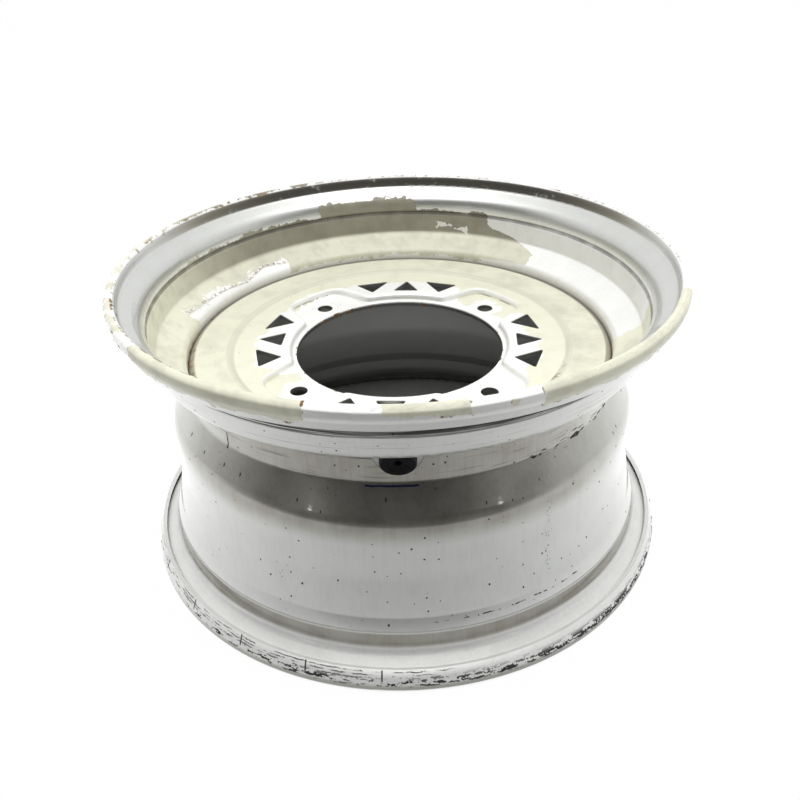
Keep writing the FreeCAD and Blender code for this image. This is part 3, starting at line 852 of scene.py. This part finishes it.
class RIM_OT_valve(bpy.types.Operator):
    """Model the valve's threaded stem and finish the rubber and the core"""
    bl_idname = "rim.valve"
    bl_label = "Tyre valve"

    steps = 96

    def execute(self, context):
        colours = context.scene.rim_colours
        brass = valve_brass(colours)
        dress(["valve_body", "core_seal"], valve_rubber(colours))
        dress(["core_plug", "core_barrel", "core_pin"], brass)
        dress(["core_gasket"], gasket_plastic(colours))
        stem = new_piece("threaded_stem", self.stem(context.scene.rim_sizes), brass, "wheel")
        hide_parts("valve_stem")
        self.spring(colours)
        return {"FINISHED"}

    def spring(self, colours):
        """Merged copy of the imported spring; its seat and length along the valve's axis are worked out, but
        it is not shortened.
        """
        _, axis, _ = valve_axis()
        shape = bmesh.new()
        shape.from_mesh(frame["nodes"]["core_spring"].data)
        bmesh.ops.remove_doubles(shape, verts=shape.verts, dist=1e-7)
        bmesh.ops.recalc_face_normals(shape, faces=shape.faces)
        smooth_faces(shape, 40)
        places = [vert.co.dot(axis) for vert in shape.verts]
        seat = min(places)
        length = max(places) - seat
        spring = new_piece("pin_spring", shape, spring_steel(colours), "wheel")
        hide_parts("core_spring")
        axis * seat
        1 - PIN_TRAVEL * MM / length
        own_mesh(spring)

    def stem(self, sizes):
        """Brass stem along the valve's axis, from its foot in the rubber to its threaded tip."""
        foot, axis, crest = valve_axis()
        outline = [(mm_r * MM, mm_s * MM) for mm_r, mm_s in [
            (2.0, -1.6), (4.7, -1.6), (4.7, -0.2), (2.9, -0.2), (2.9, 15.0)]]
        height = 15.0 * MM
        end = 22.4 * MM
        while height + sizes.thread_pitch <= end:
            outline += [(crest - sizes.thread_depth, height), (crest, height + sizes.thread_pitch * 0.4),
                        (crest, height + sizes.thread_pitch * 0.6)]
            height += sizes.thread_pitch
        outline += [(crest - sizes.thread_depth, height), (crest - 0.6 * MM, 23.0 * MM),
                    (2.65 * MM, 23.0 * MM), (2.65 * MM, 13.0 * MM), (2.0 * MM, 13.0 * MM)]
        shape = bmesh.new()
        spun(shape, outline_edges(shape, outline), self.steps)
        smooth_faces(shape, 25)
        turn = axis.to_track_quat("Z", "Y").to_matrix().to_4x4()
        bmesh.ops.transform(shape, matrix=Matrix.Translation(foot) @ turn, verts=shape.verts)
        return shape


class RIM_OT_stage(bpy.types.Operator):
    """Set up the floor, the light and the camera"""
    bl_idname = "rim.stage"
    bl_label = "Stage"

    floor_size = 7.0
    floor_front = 0.42
    foot_edge = (0.1655, 0.168)     # outside it, the floor shows as white
    near_floor = (0.3, 0.4)         # inside it, the floor in front mirrors darker
    glow_share = 0.98               # the rest of the floor's look is paint, which takes the shadow
    lamp_size = 1.5
    lamp_distance = 1.5
    lamp_rise = math.radians(84)
    side_size = 0.07
    side_distance = 1.2
    side_rise = math.radians(19.5)
    side_turn = math.radians(40)
    viewer_turn = math.radians(8)

    def execute(self, context):
        stage = context.scene.rim_stage
        context.scene.view_settings.view_transform = "Standard"
        self.floor(context, stage)
        self.world(context, stage)
        self.lamps(context, stage)
        self.camera(context, stage)
        return {"FINISHED"}

    def floor(self, context, stage):
        """Pale sheet that ends in front of the camera, white to it apart from a faint shadow."""
        material = bpy.data.materials.new("pale_floor")
        material.use_nodes = True
        nodes = Nodes(material.node_tree)
        rays = nodes.node("ShaderNodeLightPath")
        mirrored = rays.out("Is Glossy Ray") + rays.out("Is Transmission Ray")
        seen = nodes.smallest(rays + mirrored, 1)
        place = nodes.node("ShaderNodeTexCoord", output="Object")
        parts = nodes.node("ShaderNodeSeparateXYZ", None, {0: place})
        away = nodes.node("ShaderNodeVectorMath", {"operation": "LENGTH"}, {0: place}, "Value")
        open_floor = nodes.step(away, *self.foot_edge)
        ahead = parts * math.sin(stage.azimuth) - parts.out("Y") * math.cos(stage.azimuth)
        in_front = nodes.largest(ahead / nodes.largest(away, 0.001), 0)
        # Painted shadow: to mirrored rays the floor near the front glows darker, as the viewer's shadow, and
        # the floor to the sides glows brighter
        shade = in_front * (0.65 - nodes.step(away, *self.near_floor) * 0.35) - 0.3
        paint = nodes.node("ShaderNodeBsdfDiffuse", None, {"Color": as_colour(stage.floor)})
        glow = nodes.node("ShaderNodeEmission", None, {
            "Color": 1 - nodes.smallest(mirrored, 1) * shade, "Strength": 1.0})
        shown = nodes.node("ShaderNodeMixShader", None, {
            0: seen * open_floor * self.glow_share, 1: paint, 2: glow})
        nodes.node("ShaderNodeOutputMaterial", None, {"Surface": shown}, None)
        shape = bmesh.new()
        bmesh.ops.create_grid(shape, x_segments=1, y_segments=1, size=self.floor_size / 2)
        bmesh.ops.translate(shape, verts=shape.verts, vec=(0, self.floor_size / 2 - self.floor_front, 0))
        mesh = bpy.data.meshes.new("floor")
        shape.to_mesh(mesh)
        shape.free()
        mesh.materials.append(material)
        floor = bpy.data.objects.new("floor", mesh)
        context.scene.collection.objects.link(floor)

    def world(self, context, stage):
        """Pale room, white to the camera and dim in front, where the viewer stands."""
        world = bpy.data.worlds.new("pale_room")
        world.use_nodes = True
        nodes = Nodes(world.node_tree)
        rays = nodes.node("ShaderNodeLightPath")
        way = nodes.node("ShaderNodeTexCoord", output="Generated")
        parts = nodes.node("ShaderNodeSeparateXYZ", None, {0: way})
        x, y, z = parts, parts.out("Y"), parts.out("Z")
        turn = stage.azimuth - self.viewer_turn
        ahead = x * math.sin(turn) - y * math.cos(turn)
        level = nodes.largest(nodes.maths("SQRT", x * x + y * y), 0.001)
        viewer = nodes.step(ahead / level, math.cos(math.radians(92)), math.cos(math.radians(46)))
        viewer = viewer * (1 - nodes.step(z, math.sin(math.radians(42)), math.sin(math.radians(66))))
        behind = nodes.step(-ahead, -0.2, 0.6)
        room = nodes.ramp(z, [(-1, 0.2), (-0.1, 0.4), (0.1, 0.65), (0.4, 1.0), (0.7, 1.1), (1, 1.05)])
        room = room * (1 - viewer * 0.95)
        mirrored = (rays.out("Is Glossy Ray") + rays.out("Is Transmission Ray")) * behind
        shown = nodes.smallest(rays + mirrored, 1)
        light = room * (1 - shown) + shown
        glow = nodes.node("ShaderNodeBackground", None, {"Color": light, "Strength": 1.0})
        nodes.node("ShaderNodeOutputWorld", None, {"Surface": glow}, None)
        context.scene.world = world

    def lamps(self, context, stage):
        """Broad soft lamp over the wheel, and a small one on either side of the viewer."""
        self.lamp(context, "soft_lamp", stage.lamp_power, self.lamp_size,
                  self.lamp_distance, stage.azimuth, self.lamp_rise)
        for name, turn in (("left_lamp", -self.side_turn), ("right_lamp", self.side_turn)):
            self.lamp(context, name, stage.side_power, self.side_size,
                      self.side_distance, stage.azimuth + turn, self.side_rise)

    def lamp(self, context, name, power, size, distance, turn, rise):
        """Round lamp that shines at the wheel's foot; its turn counts from the front towards +X."""
        way = Vector((math.sin(turn) * math.cos(rise), -math.cos(turn) * math.cos(rise), math.sin(rise)))
        place = distance * way
        data = bpy.data.lights.new(name, "AREA")
        data.shape = "DISK"
        data.size = size
        data.energy = power
        lamp = bpy.data.objects.new(name, data)
        lamp.location = place
        lamp.rotation_euler = (-place).to_track_quat("-Z", "Y").to_euler()
        context.scene.collection.objects.link(lamp)

    def camera(self, context, stage):
        """Camera at the photograph's place and angle."""
        data = bpy.data.cameras.new("camera")
        data.sensor_width = 36
        data.lens = stage.lens
        camera = bpy.data.objects.new("camera", data)
        level = math.cos(stage.pitch)
        ahead = Vector((math.sin(stage.yaw) * level, math.cos(stage.yaw) * level, -math.sin(stage.pitch)))
        right = Vector((math.cos(stage.yaw), -math.sin(stage.yaw), 0))
        up = right.cross(ahead)
        turned_right = right * math.cos(stage.roll) + up * math.sin(stage.roll)
        turned_up = up * math.cos(stage.roll) - right * math.sin(stage.roll)
        axes = Matrix((turned_right, turned_up, -ahead)).transposed().to_4x4()
        place = Matrix.Translation((0, -stage.distance, stage.height)) @ axes
        camera.matrix_world = Matrix.Rotation(stage.azimuth, 4, "Z") @ place
        context.scene.collection.objects.link(camera)
        context.scene.camera = camera


class RIM_PT_panel(bpy.types.Panel):
    """Pieces, sizes and colours of the wheel rim"""
    bl_idname = "RIM_PT_panel"
    bl_label = "Wheel rim"
    bl_space_type = "VIEW_3D"
    bl_region_type = "UI"
    bl_category = "Wheel rim"

    def draw(self, context):
        for operator in OPERATORS:
            self.layout.operator(operator.bl_idname)
        for group in (context.scene.rim_colours, context.scene.rim_sizes, context.scene.rim_stage):
            column = self.layout.column()
            for name in group.__annotations__:
                column.prop(group, name)


GROUPS = {"rim_colours": WheelRimColours, "rim_sizes": WheelRimSizes, "rim_stage": WheelRimStage}
OPERATORS = [RIM_OT_barrel, RIM_OT_disc, RIM_OT_weld, RIM_OT_valve, RIM_OT_stage]


def register():
    for name, group in GROUPS.items():
        bpy.utils.register_class(group)
        setattr(bpy.types.Scene, name, bpy.props.PointerProperty(type=group))
    for operator in OPERATORS:
        bpy.utils.register_class(operator)
    bpy.utils.register_class(RIM_PT_panel)


def unregister():
    bpy.utils.unregister_class(RIM_PT_panel)
    for operator in reversed(OPERATORS):
        bpy.utils.unregister_class(operator)
    for name, group in GROUPS.items():
        delattr(bpy.types.Scene, name)
        bpy.utils.unregister_class(group)


def main():
    register()
    bpy.ops.rim.barrel()
    bpy.ops.rim.disc()
    bpy.ops.rim.weld()
    bpy.ops.rim.valve()
    bpy.ops.rim.stage()


if __name__ == "__main__":
    main()
